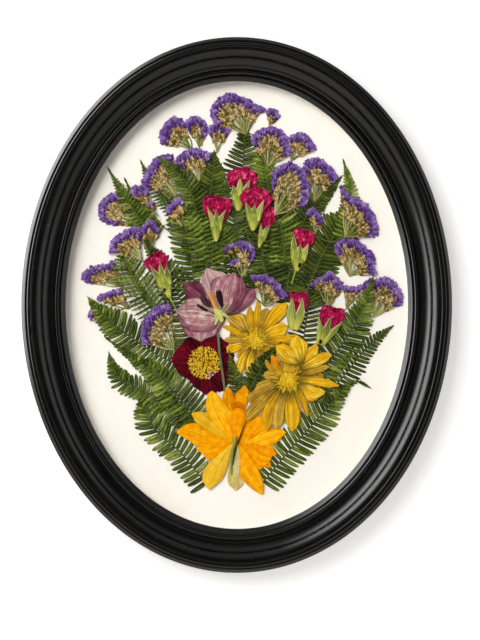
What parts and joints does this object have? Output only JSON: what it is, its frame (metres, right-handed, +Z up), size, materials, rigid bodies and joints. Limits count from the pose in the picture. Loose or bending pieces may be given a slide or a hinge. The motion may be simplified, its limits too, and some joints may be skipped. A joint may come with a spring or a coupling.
{
  "type": "pressed flower frame",
  "caption": "Oval black wooden wall frame holding a glazed arrangement of pressed ferns, statice, carnations, tulip and daisies on a pale board.",
  "frame": {"origin": "on the wall plane, at the nail point under the teeth of the hanger", "axes": "+Z up, +Y into the wall, face of the frame looks along -Y"},
  "size_m": [0.3374, 0.0298, 0.42],
  "materials": {
    "black_paint": "turned wooden oval moulding under satin black paint",
    "glass": "clear picture glass",
    "cream_board": "matt off-white mount board",
    "spacer": "matt white card strip",
    "hardboard": "brown pressed hardboard",
    "steel": "bright zinc-plated steel",
    "felt": "dark felt",
    "fern": "dried pressed fern, matt to satin green",
    "statice": "papery purple statice florets on ochre bracts",
    "carnation": "crimson-pink petals over a yellow-green calyx",
    "tulip": "dried mauve petal, silky with darker veins",
    "crimson": "velvety crimson ray petals round a golden disk",
    "gold": "dried golden petals, ochre veins",
    "orange": "orange-yellow dried petals"
  },
  "bodies": {
    "root": {"frame_moulding": "black_paint", "glass_pane": "glass", "spacer_ring": "spacer", "mount_board": "cream_board", "backing_board": "hardboard", "retaining_point_1": "steel", "retaining_point_2": "steel", "retaining_point_3": "steel", "retaining_point_4": "steel", "bumper_pad_left": "felt", "bumper_pad_right": "felt", "fern_lower_left_1": "fern", "fern_lower_left_2": "fern", "fern_lower_left_3": "fern", "fern_lower_left_4": "fern", "fern_left": "fern", "fern_upper_left_1": "fern", "fern_upper_left_2": "fern", "fern_centre_left": "fern", "fern_by_left_bud": "fern", "fern_top": "fern", "fern_upper_middle": "fern", "fern_middle": "fern", "fern_upper_right": "fern", "fern_right_inner": "fern", "fern_right": "fern", "fern_right_outer": "fern", "fern_lower_right": "fern", "fern_behind_buds": "fern", "fern_over_chrysanthemum": "fern", "statice_top": "statice", "statice_upper_left_pair": "statice", "statice_left_arch": "statice", "statice_far_left": "statice", "statice_left_small_pair": "statice", "statice_left_fan": "statice", "statice_lower_left": "statice", "statice_by_tulip": "statice", "statice_upper_right_pair": "statice", "statice_right_arch": "statice", "statice_right_slope": "statice", "statice_far_right": "statice", "statice_right_middle": "statice", "statice_right_cup": "statice", "statice_right_end": "statice", "statice_middle_pair": "statice", "carnation_1": "carnation", "carnation_2": "carnation", "carnation_3": "carnation", "carnation_4": "carnation", "carnation_5": "carnation", "carnation_6": "carnation", "carnation_7": "carnation", "carnation_8": "carnation", "tulip": "tulip", "crimson_daisy": "crimson", "chrysanthemum_upper": "gold", "chrysanthemum_lower": "gold", "orange_flower": "orange", "sawtooth_hanger": "steel"}
  },
  "joints": []
}
